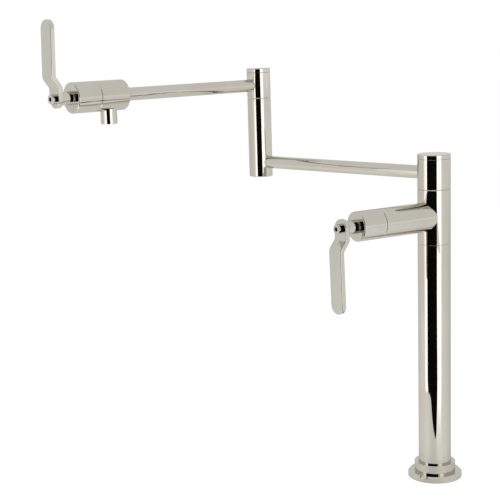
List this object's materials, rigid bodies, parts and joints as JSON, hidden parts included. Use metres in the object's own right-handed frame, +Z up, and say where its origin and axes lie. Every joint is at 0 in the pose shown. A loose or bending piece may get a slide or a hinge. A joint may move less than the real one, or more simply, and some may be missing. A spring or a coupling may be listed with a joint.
{
  "type": "deck mount pot filler",
  "caption": "Deck mounted pot filler: a tall column with a lever valve carries jointed swivelling arms that end in a spout head with its own shut-off lever.",
  "frame": {"origin": "centre of the base flange's underside, on the column's axis, where the shank leaves it", "axes": "+Z up along the column; +X to the right and -Y towards a viewer who sees the arms folded to the left"},
  "size_m": [0.491, 0.2887, 0.6628],
  "materials": {
    "polished_nickel": "polished nickel plate",
    "polished_steel": "polished stainless screws",
    "brass": "machined brass",
    "stainless": "stainless steel",
    "rubber": "black rubber",
    "low_friction_plastic": "white low friction plastic",
    "aerator_plastic": "black moulded plastic",
    "ceramic": "lapped ceramic"
  },
  "bodies": {
    "column": {"escutcheon": "polished_nickel", "deck_gasket": "rubber", "base_collar": "polished_nickel", "threaded_shank": "brass", "deck_rubber_washer": "rubber", "deck_steel_washer": "stainless", "shank_locknut": "brass", "inlet_adapter": "brass", "inlet_seal": "rubber", "supply_tube": "stainless", "supply_tube_seals": "rubber", "column_tube": "polished_nickel", "valve_block": "polished_nickel", "valve_barrel": "polished_nickel", "column_bonnet": "polished_nickel", "column_cartridge_seal": "rubber", "column_cartridge_body": "brass", "column_fixed_disc": "ceramic", "column_swivel_post": "brass", "column_swivel_seals": "rubber", "column_thrust_washer": "low_friction_plastic", "column_retaining_clip": "stainless"},
    "column_lever": {"column_moving_disc": "ceramic", "column_valve_stem": "brass", "column_stem_seal": "rubber", "column_lever_hub": "polished_nickel", "column_lever": "polished_nickel", "column_lever_screw": "polished_steel"},
    "lower_arm": {"column_head": "polished_nickel", "column_cap": "polished_nickel", "lower_arm_tube": "polished_nickel", "elbow_lower_post": "polished_nickel", "elbow_swivel_post": "brass", "elbow_swivel_seals": "rubber", "elbow_thrust_washer": "low_friction_plastic", "elbow_retaining_clip": "stainless"},
    "upper_arm": {"elbow_head": "polished_nickel", "elbow_cap": "polished_nickel", "upper_arm_tube": "polished_nickel", "spout_body": "polished_nickel", "spout_bonnet": "polished_nickel", "spout_cartridge_seal": "rubber", "spout_cartridge_body": "brass", "spout_fixed_disc": "ceramic", "outlet_tube": "polished_nickel", "aerator_housing": "aerator_plastic", "aerator_screen": "stainless"},
    "spout_lever": {"spout_moving_disc": "ceramic", "spout_valve_stem": "brass", "spout_stem_seal": "rubber", "spout_lever_hub": "polished_nickel", "spout_lever": "polished_nickel", "spout_lever_screw": "polished_steel"}
  },
  "joints": [
    {"name": "column_swivel", "type": "hinge", "parent": "column", "child": "lower_arm", "pos_m": [0, 0, 0.3584], "axis": [0, 0, 1], "continuous": true},
    {"name": "elbow_swivel", "type": "hinge", "parent": "lower_arm", "child": "upper_arm", "pos_m": [-0.20404, 0.18437, 0.4616], "axis": [0, 0, 1], "continuous": true},
    {"name": "column_lever_turn", "type": "hinge", "parent": "column", "child": "column_lever", "pos_m": [0, 0, 0.3254], "axis": [-0.8443, -0.5358, 0], "range_deg": [0, 90]},
    {"name": "spout_lever_turn", "type": "hinge", "parent": "upper_arm", "child": "spout_lever", "pos_m": [-0.20404, 0.18437, 0.4786], "axis": [0.7705, 0.6374, 0], "range_deg": [0, 90]}
  ]
}
